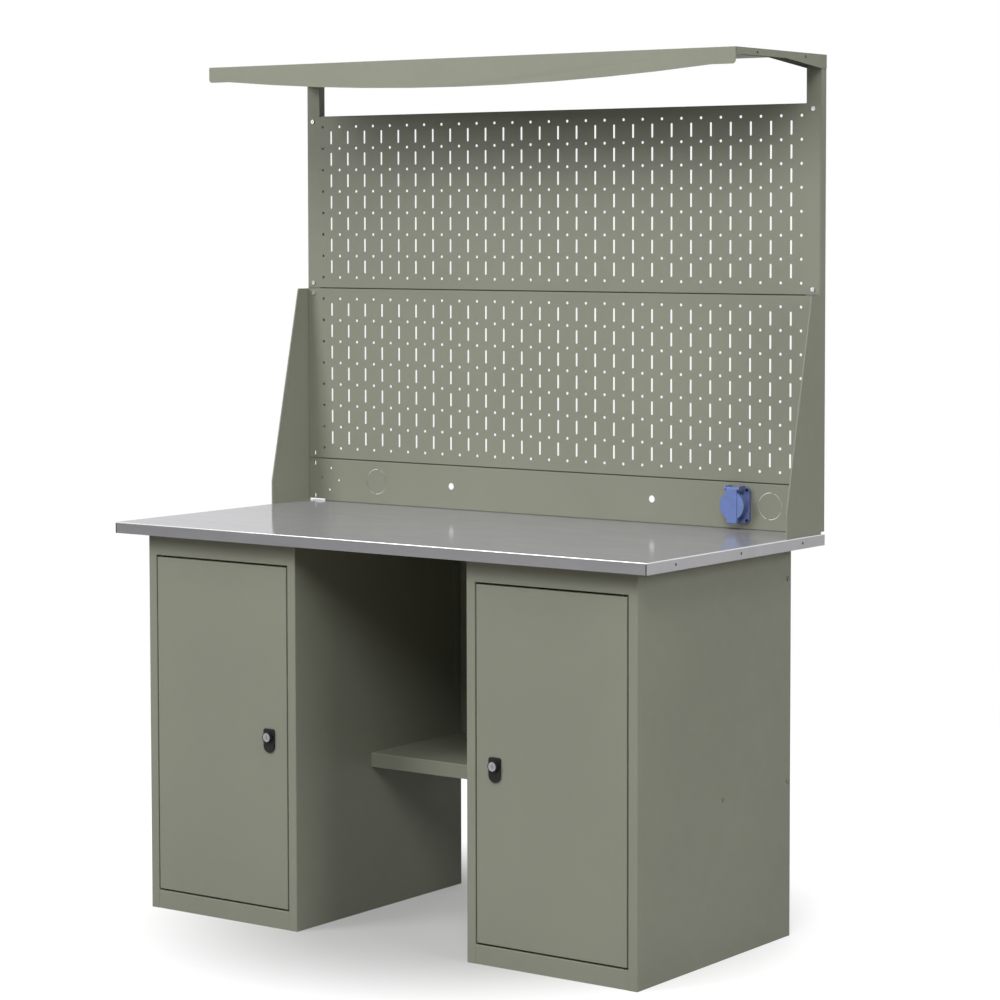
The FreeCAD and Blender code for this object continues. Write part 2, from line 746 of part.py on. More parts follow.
def pivot_bush(axis, face, shoulder, end):
    heading = 1 if value(end) > value(face) else -1
    neck = rod("Z", BUSH_NECK_RADIUS, axis, *sorted_ends(face, shoulder, heading))
    barrel = rod("Z", BUSH_RADIUS, axis, *sorted_ends(shoulder, end, heading))
    low, high = sorted_ends(face, end, heading)
    radius = "pivot_pin_radius + pivot_clearance"
    bore = rod("Z", radius, axis, f"{low} - cut_overrun", f"{high} + cut_overrun")
    return less(union(neck, barrel), bore)


def door(name, side):
    """A double-skinned door: a folded pan with a flat liner inside its returns."""
    lock_hole = rod(
        "Y",
        f"{LOCK_BARREL_RADIUS} + lock_hole_clearance",
        lock_axis(side),
        f"{CUPBOARD_FRONT} - cut_overrun",
        f"{DOOR_BACK} + cut_overrun",
    )
    neck_holes = [
        rod("Z", f"{BUSH_NECK_RADIUS} + thread_clearance", pivot_axis(side), low, high)
        for low, high in (
            (f"{DOOR_FOOT} - cut_overrun", f"{DOOR_FOOT} + door_sheet + cut_overrun"),
            (f"{DOOR_HEAD} - door_sheet - cut_overrun", f"{DOOR_HEAD} + cut_overrun"),
        )
    ]
    width = across(side, DOOR_FREE_EDGE, DOOR_HINGE_EDGE)
    skin = pan(width, (CUPBOARD_FRONT, DOOR_BACK), (DOOR_FOOT, DOOR_HEAD), "door_sheet", "+y")
    folded = rounded(skin, "door_bend_radius", lambda middle, run: near(middle.y, CUPBOARD_FRONT))
    node(f"{name}_door", less(folded, lock_hole, *neck_holes))

    liner = slab(
        across(side, f"{DOOR_FREE_EDGE} + door_sheet", f"{DOOR_HINGE_EDGE} - door_sheet"),
        (f"{DOOR_BACK} - door_sheet", DOOR_BACK),
        (f"{DOOR_FOOT} + door_sheet", f"{DOOR_HEAD} - door_sheet"),
    )
    node(f"{name}_door_liner", less(liner, lock_hole))


def lock_axis(side):
    return (aside(side, f"({DOOR_FREE_EDGE} + lock_inset)"), "lock_height")


def lock(name, side):
    """A cam lock: black housing, silver key cylinder, nut behind the door, and the cam at rest."""
    axis = lock_axis(side)
    plate_span = (f"{CUPBOARD_FRONT} - lock_plate_thickness", CUPBOARD_FRONT)
    plate_foot = "lock_height - lock_plate_drop"
    plate_head = "lock_height + lock_plate_rise"
    plate = union(
        slab(about(axis[0], "lock_plate_width"), plate_span, (plate_foot, plate_head)),
        rod("Y", "lock_plate_width / 2", (axis[0], plate_foot), *plate_span),
    )

    def plate_corner(middle, run):
        return along(run, "y") and near(middle.z, plate_head)

    key_hole = rod(
        "Y",
        "key_body_radius + key_clearance",
        axis,
        f"{LOCK_FACE} - cut_overrun",
        f"{LOCK_BARREL_END} + cut_overrun",
    )
    key_seat = rod(
        "Y",
        "key_head_radius + key_clearance",
        axis,
        f"{LOCK_FACE} - cut_overrun",
        f"{LOCK_FACE} + key_head_depth",
    )
    housing = union(
        rounded(plate, "lock_plate_corner", plate_corner),
        rod("Y", "key_head_radius + lock_collar_wall", axis, LOCK_FACE, CUPBOARD_FRONT),
        rod("Y", LOCK_BARREL_RADIUS, axis, CUPBOARD_FRONT, LOCK_BARREL_END),
    )
    node(f"{name}_lock_housing", less(housing, key_hole, key_seat))

    nut_end = f"{DOOR_BACK} + lock_nut_thickness"
    nut_bore = rod(
        "Y",
        f"{LOCK_BARREL_RADIUS} + thread_clearance",
        axis,
        f"{DOOR_BACK} - cut_overrun",
        f"{nut_end} + cut_overrun",
    )
    nut = hexagon("Y", f"{LOCK_BARREL_RADIUS} + lock_nut_wall", axis, DOOR_BACK, nut_end)
    node(f"{name}_lock_nut", less(nut, nut_bore))

    key_face = f"{LOCK_FACE} - key_proud"
    tail_end = f"{LOCK_CAM_BACK} + lock_cam_boss_height"
    cylinder = union(
        rod("Y", "key_head_radius", axis, key_face, f"{LOCK_FACE} + key_head_depth - key_clearance"),
        rod("Y", "key_body_radius", axis, LOCK_FACE, LOCK_BARREL_END),
        rod("Y", "lock_tail_radius", axis, LOCK_BARREL_END, tail_end),
    )
    keyway = slab(
        about(axis[0], "keyway_width"),
        (f"{key_face} - cut_overrun", f"{key_face} + keyway_depth"),
        about("lock_height", "keyway_height"),
    )
    node(f"{name}_lock_cylinder", less(cylinder, keyway))

    reach = "(lock_inset + door_side_gap + lock_cam_overlap)"
    cam_span = (LOCK_CAM_FRONT, LOCK_CAM_BACK)
    cam_tip = f"lock_height - {reach} + lock_cam_width / 2"
    cam = union(
        slab(about(axis[0], "lock_cam_width"), cam_span, (cam_tip, "lock_height")),
        rod("Y", "lock_cam_width / 2", (axis[0], cam_tip), *cam_span),
        rod("Y", "lock_cam_width / 2", axis, *cam_span),
        rod("Y", "lock_tail_radius + lock_cam_boss_wall", axis, LOCK_CAM_BACK, tail_end),
    )
    tail_hole = rod(
        "Y",
        "lock_tail_radius + thread_clearance",
        axis,
        f"{LOCK_CAM_FRONT} - cut_overrun",
        f"{tail_end} + cut_overrun",
    )
    node(f"{name}_lock_cam", less(cam, tail_hole))


def shelf(name, side):
    """A folded shelf that lies on four angle brackets welded to the cupboard's sides."""
    inner_wall = f"({CUPBOARD_INNER} + cupboard_sheet)"
    outer_wall = f"({CUPBOARD_OUTER} - cupboard_sheet)"
    tray = pan(
        across(side, f"{inner_wall} + shelf_side_gap", f"{outer_wall} - shelf_side_gap"),
        (SHELF_FRONT, f"{CUPBOARD_BACK} - cupboard_sheet - shelf_back_gap"),
        ("shelf_height", "shelf_height + shelf_edge"),
        "cupboard_sheet",
        "-z",
    )
    node(f"{name}_shelf", tray)

    brackets = []
    for end in (-1, 1):
        depth = about(aside(end, f"({CUPBOARD_BACK} - bracket_inset)"), "bracket_width")
        for wall, sign in ((inner_wall, "+"), (outer_wall, "-")):
            leg_x = sorted_ends(wall, f"{wall} {sign} bracket_sheet", 1 if sign == "+" else -1)
            ledge_x = sorted_ends(wall, f"{wall} {sign} bracket_ledge", 1 if sign == "+" else -1)
            leg = slab(across(side, *leg_x), depth, ("shelf_height - bracket_leg", "shelf_height"))
            ledge = slab(across(side, *ledge_x), depth, ("shelf_height - bracket_sheet", "shelf_height"))
            brackets.append(union(leg, ledge))
    node(f"{name}_shelf_brackets", group(brackets))


for name, side in SIDES.items():
    side_panel(f"{name}_outer_side", side, CUPBOARD_OUTER, "-")
    side_panel(f"{name}_inner_side", side, CUPBOARD_INNER, "+")
    cupboard_ends(name, side)
    pivots(name, side)
    door(name, side)
    lock(name, side)
    shelf(name, side)

# Knee space: a folded shelf and a flanged back panel, bolted to the cupboards' inner sides.
knee_span = (f"-{CUPBOARD_INNER}", CUPBOARD_INNER)


def knee_shelf_bend(middle, run):
    return along(run, "x") and near(middle.y, KNEE_SHELF_FRONT) and near(middle.z, "knee_shelf_height")


knee_shelf = pan(
    knee_span,
    (KNEE_SHELF_FRONT, CUPBOARD_BACK),
    ("knee_shelf_height - knee_shelf_edge", "knee_shelf_height"),
    "cupboard_sheet",
    "-z",
)
shelf_bolt_holes = [screw_hole("X", place, *knee_span) for place in SIDE_BOLTS[:-1]]
node("knee_shelf", less(rounded(knee_shelf, "cupboard_bend_radius", knee_shelf_bend), *shelf_bolt_holes))

knee_height = ("knee_shelf_height", f"{COUNTER_UNDER} - knee_panel_headroom")
knee_flanges = [
    slab(
        across(side, f"{CUPBOARD_INNER} - cupboard_sheet", CUPBOARD_INNER),
        (f"{CUPBOARD_BACK} - knee_panel_flange", CUPBOARD_BACK),
        knee_height,
    )
    for side in SIDES.values()
]
knee_panel = union(
    slab(knee_span, (f"{CUPBOARD_BACK} - cupboard_sheet", CUPBOARD_BACK), knee_height), *knee_flanges
)
node("knee_back_panel", less(knee_panel, screw_hole("X", SIDE_BOLTS[-1], *knee_span)))

knee_bolts = [
    bolt("X", place, aside(side, f"{CUPBOARD_INNER} - cupboard_sheet"), "2 * cupboard_sheet", side)
    for side in SIDES.values()
    for place in SIDE_BOLTS
]
node("knee_bolts", group(knee_bolts))
outer_bolts = [
    bolt("X", place, aside(side, CUPBOARD_OUTER), "cupboard_sheet", -side)
    for side in SIDES.values()
    for place in SIDE_BOLTS
]
node("outer_side_bolts", group(outer_bolts))


def oval_hole(x, z, low, high):
    """An upright oval hole through sheet that faces the front."""
    half_run = "(board_fixing_slot / 2 - peg_hole_radius)"
    ends = (f"{low} - cut_overrun", f"{high} + cut_overrun")
    return union(
        rod("Y", "peg_hole_radius", (x, f"{z} + {half_run}"), *ends),
        rod("Y", "peg_hole_radius", (x, f"{z} - {half_run}"), *ends),
        slab(about(x, "2 * peg_hole_radius"), ends, (f"{z} - {half_run}", f"{z} + {half_run}")),
    )


def upright(name, side):
    """A channel with its web behind the boards, open to the back."""
    web = (BOARD_BACK, f"{BOARD_BACK} + upright_sheet")
    height = (UPRIGHT_FOOT, ARM_UNDER)
    blank = slab(across(side, UPRIGHT_INNER, UPRIGHT_OUTER), (BOARD_BACK, COUNTER_BACK), height)
    hollow = slab(
        across(side, f"{UPRIGHT_INNER} + upright_sheet", f"{UPRIGHT_OUTER} - upright_sheet"),
        (web[1], f"{COUNTER_BACK} + cut_overrun"),
        (f"{UPRIGHT_FOOT} - cut_overrun", f"{ARM_UNDER} + cut_overrun"),
    )
    middle = aside(side, UPRIGHT_MIDDLE)
    ovals = [oval_hole(middle, level, *web) for level in SCREWED_LEVELS + OPEN_LEVELS]
    outer_wall = across(side, f"{UPRIGHT_OUTER} - upright_sheet", UPRIGHT_OUTER)
    stud_holes = [screw_hole("X", (UPRIGHT_LINE, level), *outer_wall) for level in CHEEK_STUD_LEVELS]
    inner_wall = across(side, UPRIGHT_INNER, f"{UPRIGHT_INNER} + upright_sheet")
    arm_hole = screw_hole("X", ARM_BOLT, *inner_wall)
    node(f"{name}_upright", less(blank, hollow, arm_hole, *stud_holes, *ovals))


def cheek(name, side):
    """A side plate that tapers upwards, hemmed along its front edge, on studs through the upright."""
    foot = f"{COUNTER_BACK} - cheek_foot_reach"
    top = f"{COUNTER_BACK} - cheek_top_reach"
    back = f"{COUNTER_BACK} - cheek_back_gap"
    notch = f"{COUNTER_BACK} - cheek_notch_reach"
    knee = "counter_height + cheek_foot_height"
    plate = outline(
        [
            (foot, "counter_height"),
            (notch, "counter_height"),
            (notch, UPRIGHT_FOOT),
            (back, UPRIGHT_FOOT),
            (back, CHEEK_TOP),
            (top, CHEEK_TOP),
            (foot, knee),
        ],
        across(side, UPRIGHT_OUTER, CHEEK_OUTER),
    )
    hem = outline(
        [
            (foot, "counter_height"),
            (f"{foot} + cheek_hem_width", "counter_height"),
            (f"{foot} + cheek_hem_width", knee),
            (f"{top} + cheek_hem_width", CHEEK_TOP),
            (top, CHEEK_TOP),
            (foot, knee),
        ],
        across(side, f"{UPRIGHT_OUTER} - cheek_sheet", UPRIGHT_OUTER),
    )
    stud_span = across(side, f"{UPRIGHT_OUTER} - cheek_stud_length", UPRIGHT_OUTER)
    studs = [rod("X", "screw_radius", (UPRIGHT_LINE, level), *stud_span) for level in CHEEK_STUD_LEVELS]
    for level in CHEEK_STUD_LEVELS:
        add_nut("X", (UPRIGHT_LINE, level), aside(side, f"{UPRIGHT_OUTER} - upright_sheet"), -side)
    node(f"{name}_cheek", union(plate, hem, *studs))


def canopy_arm(name, side):
    """An inverted channel on top of the upright that reaches forward under the canopy."""
    slope = f"{BOARD_BACK} - arm_slope_reach"
    width = across(side, ARM_INNER, CANOPY_FLANGE_FACE)
    top_flange = slab(width, (ARM_FRONT, ARM_BACK), (ARM_UNDER, CANOPY_UNDER))
    inner_flange = outline(
        [
            (ARM_FRONT, ARM_UNDER),
            (f"{ARM_FRONT} + arm_nose", f"{CANOPY_UNDER} - arm_shallow_height"),
            (slope, f"{CANOPY_UNDER} - arm_shallow_height"),
            (BOARD_BACK, f"{CANOPY_UNDER} - arm_deep_height"),
            (ARM_BACK, f"{CANOPY_UNDER} - arm_deep_height"),
            (ARM_BACK, ARM_UNDER),
        ],
        across(side, ARM_INNER, UPRIGHT_INNER),
    )
    outer_flange = slab(
        across(side, f"{CANOPY_FLANGE_FACE} - arm_sheet", CANOPY_FLANGE_FACE),
        (ARM_FRONT, f"{BOARD_BACK} - arm_upright_gap"),
        (f"{CANOPY_UNDER} - arm_outer_height", ARM_UNDER),
    )
    bolt_hole = screw_hole("X", ARM_BOLT, *across(side, ARM_INNER, UPRIGHT_INNER))
    bites = [flush_bite(side, place, CANOPY_FLANGE_FACE, "canopy_screw_length") for place in CANOPY_SCREWS]
    node(f"{name}_canopy_arm", less(union(top_flange, inner_flange, outer_flange), bolt_hole, *bites))


for name, side in SIDES.items():
    upright(name, side)
    cheek(name, side)
    canopy_arm(name, side)


def point(x, y, z):
    return FreeCAD.Vector(x, y, z)


def round_wire(x, z, radius, depth):
    return Part.Wire(Part.Circle(point(x, depth, z), FreeCAD.Vector(0, 1, 0), radius).toShape())


def slot_wire(x, z, width, length, depth):
    """An upright slot with round ends."""
    radius = width / 2
    rise = length / 2 - radius
    top_right, top_left = [point(x + reach, depth, z + rise) for reach in (radius, -radius)]
    foot_right, foot_left = [point(x + reach, depth, z - rise) for reach in (radius, -radius)]
    top = Part.Arc(top_right, point(x, depth, z + rise + radius), top_left)
    foot = Part.Arc(foot_left, point(x, depth, z - rise - radius), foot_right)
    down = Part.LineSegment(top_left, foot_left)
    up = Part.LineSegment(foot_right, top_right)
    return Part.Wire([piece.toShape() for piece in (top, down, foot, up)])


def slit_wire(x, z, start, end, depth):
    """One curved slit of a knock-out disc, between two angles in degrees."""
    def at(radius, angle):
        turn = math.radians(angle)
        return point(x + radius * math.cos(turn), depth, z + radius * math.sin(turn))

    outer = value("knockout_radius")
    inner = outer - value("knockout_slit")
    middle = (start + end) / 2
    far = Part.Arc(at(outer, start), at(outer, middle), at(outer, end))
    close = Part.LineSegment(at(outer, end), at(inner, end))
    back = Part.Arc(at(inner, end), at(inner, middle), at(inner, start))
    join = Part.LineSegment(at(inner, start), at(outer, start))
    return Part.Wire([piece.toShape() for piece in (far, close, back, join)])


def folded_flange(edge, upward, half, bolt_places):
    """A bend and a flange to the back along a board's edge; upward is 1 at the top, -1 at the foot."""
    front = value(BOARD_FRONT)
    sheet = value("board_sheet")
    radius = value("board_bend_radius")
    back = value(BOARD_BACK) + value("board_flange_depth")
    inside = edge - upward * sheet
    centre_y = front + radius
    centre_z = edge - upward * radius
    slant = math.sqrt(0.5)

    def bend(reach):
        start = point(-half, centre_y - reach, centre_z)
        middle = point(-half, centre_y - reach * slant, centre_z + upward * reach * slant)
        return start, middle, point(-half, centre_y, centre_z + upward * reach)

    outer = bend(radius)
    inner = bend(radius - sheet)
    tip = point(-half, back, edge)
    inner_tip = point(-half, back, inside)
    pieces = [
        Part.Arc(*outer),
        Part.LineSegment(outer[-1], tip),
        Part.LineSegment(tip, inner_tip),
        Part.LineSegment(inner_tip, inner[-1]),
        Part.Arc(*reversed(inner)),
        Part.LineSegment(inner[0], outer[0]),
    ]
    section = Part.Face(Part.Wire([piece.toShape() for piece in pieces]))
    flange = section.extrude(FreeCAD.Vector(2 * half, 0, 0))
    overrun = value("cut_overrun")
    radius = value("screw_radius + hole_clearance")
    for place in bolt_places:
        foot = point(value(place), value(FLANGE_LINE), min(edge, inside) - overrun)
        flange = flange.cut(Part.makeCylinder(radius, sheet + 2 * overrun, foot))
    return flange


def board(label, foot, top, foot_half, foot_trim, foot_places, hole_wires):
    """A sheet with folded edges between the uprights and flat ends that lie on them."""
    front = value(BOARD_FRONT)
    side = value(BOARD_SIDE)
    half = value(FLANGE_HALF)
    bend = value("board_bend_radius")
    low, high = value(foot), value(top)
    end_top = high - value("board_end_trim")
    end_foot = low + value(foot_trim)
    right_edge = [
        (half, high - bend),
        (half, end_top),
        (side, end_top),
        (side, end_foot),
        (foot_half, end_foot),
        (foot_half, low + bend),
    ]
    left_edge = [(-x, z) for x, z in reversed(right_edge)]
    corners = [point(x, front, z) for x, z in right_edge + left_edge]
    fixing_size = (2 * value("peg_hole_radius"), value("board_fixing_slot"))
    inset = value("board_fixing_inset")
    fixings = [
        slot_wire(sign * value(UPRIGHT_MIDDLE), level, *fixing_size, front)
        for sign in SIDES.values()
        for level in (low + inset, high - inset)
    ]
    rim = Part.makePolygon(corners + corners[:1])
    face = Part.makeFace([rim, *fixings, *hole_wires], "Part::FaceMakerCheese")
    plate = face.extrude(FreeCAD.Vector(0, value("board_sheet"), 0))
    flanges = [
        folded_flange(high, 1, half, SEAM_PLACES),
        folded_flange(low, -1, foot_half, foot_places),
    ]
    piece = doc.addObject("Part::Feature", "Board")
    piece.Shape = plate.fuse(flanges)
    piece.Placement = FreeCAD.Placement()
    node(label, piece)


def peg_wires(top):
    """Round holes on a square grid, with an upright slot in the middle of every square."""
    front = value(BOARD_FRONT)
    pitch = value("peg_pitch")
    reach = int((value(BOARD_SIDE) - value("peg_end_margin")) // pitch)
    rows = int(value("board_height") // pitch)
    slot = (value("peg_slot_width"), value("peg_slot_length"))
    radius = value("peg_hole_radius")
    wires = []
    for column in range(-reach, reach + 1):
        for row in range(rows):
            x = column * pitch
            z = value(top) - (row + 0.5) * pitch
            wires.append(round_wire(x, z, radius, front))
            if column < reach and row < rows - 1:
                wires.append(slot_wire(x + pitch / 2, z - pitch / 2, *slot, front))
    return wires


def socket_panel_wires():
    """Cable holes, two knock-out discs, a four-hole ring and the opening for the socket."""
    front = value(BOARD_FRONT)
    side = value(BOARD_SIDE)
    socket_x, level = value(SOCKET_X), value(SOCKET_Z)
    cable = value("cable_hole_reach")
    wires = [round_wire(x, level, value("cable_hole_radius"), front) for x in (-cable, cable)]
    for x in (value("left_knockout_inset") - side, side - value("right_knockout_inset")):
        for quarter in QUARTERS:
            start = TAB_TURN + TAB_WIDTH / 2 + quarter
            wires.append(slit_wire(x, level, start, start + 90 - TAB_WIDTH, front))
    ring_x = value("ring_inset") - side
    for quarter in QUARTERS:
        turn = math.radians(RING_TURN + quarter)
        x = ring_x + value("ring_radius") * math.cos(turn)
        z = level + value("ring_radius") * math.sin(turn)
        wires.append(round_wire(x, z, value("ring_hole_radius"), front))
    wires.append(round_wire(socket_x, level, value("socket_barrel_radius + socket_cutout_gap"), front))
    radius = value("flush_shank_radius + thread_clearance")
    wires.extend(round_wire(value(x), value(z), radius, front) for x, z in SOCKET_SCREWS)
    return wires


SOCKET_SCREWS = [
    (
        f"{SOCKET_X} + {x} * (socket_flange_width / 2 - socket_screw_inset)",
        f"{SOCKET_Z} + {z} * (socket_flange_height / 2 - socket_screw_inset)",
    )
    for x in (-1, 1)
    for z in (-1, 1)
]
SEAM_PLACES = [f"{share} * {FLANGE_HALF}" for share in SEAM_BOLT_SHARES]
half = value(FLANGE_HALF)
board("upper_pegboard", HIGH_SEAM, BOARD_TOP, half, "board_end_trim", SEAM_PLACES, peg_wires(BOARD_TOP))
board("lower_pegboard", LOW_SEAM, HIGH_SEAM, half, "board_end_trim", SEAM_PLACES, peg_wires(HIGH_SEAM))
board(
    "socket_panel",
    "counter_height",
    LOW_SEAM,
    value(FOOT_FLANGE_HALF),
    "upright_foot_gap",
    [place for place, line in FOOT_SCREWS],
    socket_panel_wires(),
)

panel_screws = [
    bolt("Y", (aside(side, UPRIGHT_MIDDLE), level), BOARD_FRONT, "board_sheet + upright_sheet", 1)
    for side in SIDES.values()
    for level in SCREWED_LEVELS
]
node("panel_screws", group(panel_screws))
seam_bolts = [
    bolt("Z", (place, FLANGE_LINE), f"{seam} + board_sheet", "2 * board_sheet", -1)
    for seam in (LOW_SEAM, HIGH_SEAM)
    for place in SEAM_PLACES
]
node("seam_bolts", group(seam_bolts))
foot_screws = [screw("Z", place, "counter_height + board_sheet", FOOT_TIP, -1) for place in FOOT_SCREWS]
node("socket_panel_screws", group(foot_screws))
arm_bolts = [
    bolt("X", ARM_BOLT, aside(side, ARM_INNER), "arm_sheet + upright_sheet", side)
    for side in SIDES.values()
]
node("arm_bolts", group(arm_bolts))
node("hex_nuts", group(hex_nuts))

# Canopy: one sheet with a bowed front lip, tapered side flanges and a plain back edge.
lip_span = (CANOPY_FRONT, f"{CANOPY_FRONT} + canopy_sheet")
canopy_span = (f"-{CHEEK_OUTER}", CHEEK_OUTER)
bow_half = f"({CHEEK_OUTER} - lip_straight_end)"
bow_drop = "(lip_middle_height - lip_end_height)"
bow_radius = f"(({bow_half} ^ 2 + {bow_drop} ^ 2) / (2 * {bow_drop}))"
lip_foot = f"({CANOPY_TOP} - lip_middle_height)"
lip_bow = shared(
    slab((f"-{bow_half}", bow_half), lip_span, (lip_foot, CANOPY_UNDER)),
    rod("Y", bow_radius, ("0", f"{lip_foot} + {bow_radius}"), *lip_span),
)
lip_ends = slab(canopy_span, lip_span, (f"{CANOPY_TOP} - lip_end_height", CANOPY_UNDER))


def lip_corner(middle, run):
    return along(run, "y") and near(abs(middle.x), CHEEK_OUTER) and middle.z < value(CANOPY_UNDER)


def canopy_bend(middle, run):
    return near(middle.z, CANOPY_TOP)


flange_front = f"{lip_span[1]} + canopy_flange_gap"
canopy_flanges = [
    outline(
        [
            (flange_front, CANOPY_UNDER),
            (flange_front, f"{CANOPY_TOP} - canopy_flange_height"),
            (f"{BOARD_FRONT} - canopy_taper_reach", f"{CANOPY_TOP} - canopy_flange_height"),
            (f"{BOARD_FRONT} - canopy_ear_reach", f"{CANOPY_TOP} - canopy_ear_height"),
            (CANOPY_BACK, f"{CANOPY_TOP} - canopy_ear_height"),
            (CANOPY_BACK, CANOPY_UNDER),
        ],
        across(side, CANOPY_FLANGE_FACE, CHEEK_OUTER),
    )
    for side in SIDES.values()
]
canopy_blank = union(
    slab(canopy_span, (CANOPY_FRONT, CANOPY_BACK), (CANOPY_UNDER, CANOPY_TOP)),
    rounded(union(lip_ends, lip_bow), "lip_corner_radius", lip_corner),
    *canopy_flanges,
)
canopy_holes = [
    flush_hole(side, place, CHEEK_OUTER, "canopy_sheet")
    for side in SIDES.values()
    for place in CANOPY_SCREWS
]
node("canopy_sheet", less(rounded(canopy_blank, "canopy_bend_radius", canopy_bend), *canopy_holes))
canopy_screws = [
    flush_screw(side, place, CHEEK_OUTER, "canopy_sheet", "canopy_screw_length")
    for side in SIDES.values()
    for place in CANOPY_SCREWS
]
node("canopy_screws", group(canopy_screws))

# Panel socket: a flanged housing through the panel, a contact insert, and a lid on a hinge pin.
socket_axis = (SOCKET_X, SOCKET_Z)
flange_span = (SOCKET_FLANGE_FRONT, BOARD_FRONT)
flange = slab(
    about(SOCKET_X, "socket_flange_width"), flange_span, about(SOCKET_Z, "socket_flange_height")
)
soft_flange = rounded(flange, "socket_flange_corner", lambda middle, run: along(run, "y"))
lug_near = "(lid_strip_width / 2 + lid_lug_gap)"
lug_far = f"({lug_near} + lid_lug_width)"
lid_axis = (LID_AXIS_Y, LID_AXIS_Z)
lugs = []
for side in SIDES.values():
    ends = [f"{SOCKET_X} + {words}" for words in across(side, lug_near, lug_far)]
    lugs.append(rod("X", "lid_lug_radius", lid_axis, *ends))
    lugs.append(slab(ends, (LID_AXIS_Y, SOCKET_FLANGE_FRONT), about(LID_AXIS_Z, "2 * lid_lug_radius")))
pin_ends = (f"{SOCKET_X} - {lug_far}", f"{SOCKET_X} + {lug_far}")
pin_bore = rod("X", "lid_pin_radius + thread_clearance", lid_axis, *pin_ends)
plug_bore = rod("Y", "socket_bore_radius", socket_axis, f"{SOCKET_MOUTH} - cut_overrun", SOCKET_BORE_END)
socket_screw_holes = [
    rod(
        "Y",
        "flush_shank_radius + thread_clearance",
        place,
        f"{SOCKET_FLANGE_FRONT} - cut_overrun",
        f"{BOARD_FRONT} + cut_overrun",
    )
    for place in SOCKET_SCREWS
]
housing = union(
    soft_flange,
    rod("Y", "socket_collar_radius", socket_axis, SOCKET_MOUTH, SOCKET_FLANGE_FRONT),
    rod("Y", "socket_barrel_radius", socket_axis, BOARD_FRONT, f"{BOARD_FRONT} + socket_barrel_length"),
    *lugs,
)
node("socket_housing", less(housing, plug_bore, pin_bore, *socket_screw_holes))

insert_span = (f"{SOCKET_BORE_END} - socket_insert_thickness", SOCKET_BORE_END)
insert_cut = (f"{insert_span[0]} - cut_overrun", f"{insert_span[1]} + cut_overrun")
insert = rod("Y", "socket_bore_radius - socket_insert_clearance", socket_axis, *insert_span)
contacts = [
    rod(
        "Y",
        "socket_contact_radius",
        (f"{SOCKET_X} + {side} * socket_contact_pitch / 2", SOCKET_Z),
        *insert_cut,
    )
    for side in SIDES.values()
]
earths = [
    slab(
        about(SOCKET_X, "socket_earth_width"),
        insert_cut,
        about(f"({SOCKET_Z} + {end} * socket_bore_radius)", "2 * socket_earth_height"),
    )
    for end in (-1, 1)
]
node("socket_insert", less(insert, *contacts, *earths))

socket_screws = []
for place in SOCKET_SCREWS:
    head_span = (f"{SOCKET_FLANGE_FRONT} - screw_head_height", SOCKET_FLANGE_FRONT)
    head = rod("Y", "flush_head_radius", place, *head_span)
    shank_end = f"{SOCKET_FLANGE_FRONT} + socket_screw_length"
    shank = rod("Y", "flush_shank_radius", place, SOCKET_FLANGE_FRONT, shank_end)
    recess_end = f"{head_span[0]} + screw_recess_depth"
    recess = hexagon("Y", "screw_recess_radius", place, head_span[0], recess_end)
    socket_screws.append(less(union(head, shank), recess))
node("socket_screws", group(socket_screws))

node("socket_lid_pin", rod("X", "lid_pin_radius", lid_axis, *pin_ends))

strip_x = about(SOCKET_X, "lid_strip_width")
strip = slab(
    strip_x,
    (f"{LID_FRONT} - lid_strip_proud", LID_BACK),
    (f"{SOCKET_Z} - {LID_RADIUS} - lid_strip_drop", LID_AXIS_Z),
)
strip_edge = f"{LID_FRONT} - lid_strip_proud"
soft_strip = rounded(strip, "lid_edge_radius", lambda middle, run: near(middle.y, strip_edge))
knuckle = rod("X", "lid_knuckle_radius", lid_axis, *strip_x)
lid_bore = rod(
    "X",
    "lid_pin_radius + lid_pin_clearance",
    lid_axis,
    f"{strip_x[0]} - cut_overrun",
    f"{strip_x[1]} + cut_overrun",
)
lid = union(rod("Y", LID_RADIUS, socket_axis, LID_FRONT, LID_BACK), soft_strip, knuckle)
node("socket_lid", less(lid, lid_bore))

doc.recompute()
for thing in doc.Objects:
    if "Invalid" in thing.State or "Error" in thing.State:
        raise RuntimeError(f"{thing.Label} could not be built: {thing.State}")
for label, piece in nodes.items():
    if piece.Shape.isNull() or not piece.Shape.isValid():
        raise RuntimeError(f"{label} has no valid shape")

os.makedirs("parts", exist_ok=True)
for label, piece in nodes.items():
    piece.Shape.exportStep(f"parts/{label}.step")
    print(label, len(piece.Shape.Solids), "solids", round(piece.Shape.Volume), "mm3")
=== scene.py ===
import math

import bpy
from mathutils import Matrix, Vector

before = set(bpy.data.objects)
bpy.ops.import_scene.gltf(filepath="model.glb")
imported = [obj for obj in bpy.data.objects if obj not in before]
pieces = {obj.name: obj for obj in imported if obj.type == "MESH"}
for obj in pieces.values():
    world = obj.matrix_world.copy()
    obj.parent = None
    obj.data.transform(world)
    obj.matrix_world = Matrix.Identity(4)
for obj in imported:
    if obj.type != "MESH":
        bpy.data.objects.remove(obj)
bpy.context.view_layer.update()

# Pedestal carcasses. Each is folded from steel sheet about a millimetre thick and spot welded, then
# powder coated in one olive grey all over. The coat has a fine orange peel and a satin gloss.

OLIVE_DARK = (0.205, 0.212, 0.165)
OLIVE_LIGHT = (0.226, 0.233, 0.182)
NOISE_LOW = 0.3
NOISE_HIGH = 0.7
finishes = {}


def shader(name):
    finishes[name] = bpy.data.materials.new(name)
    finishes[name].use_nodes = True
    tree = finishes[name].node_tree
    place = tree.nodes.new("ShaderNodeTexCoord").outputs["Object"]
    return tree, tree.nodes["Principled BSDF"], place


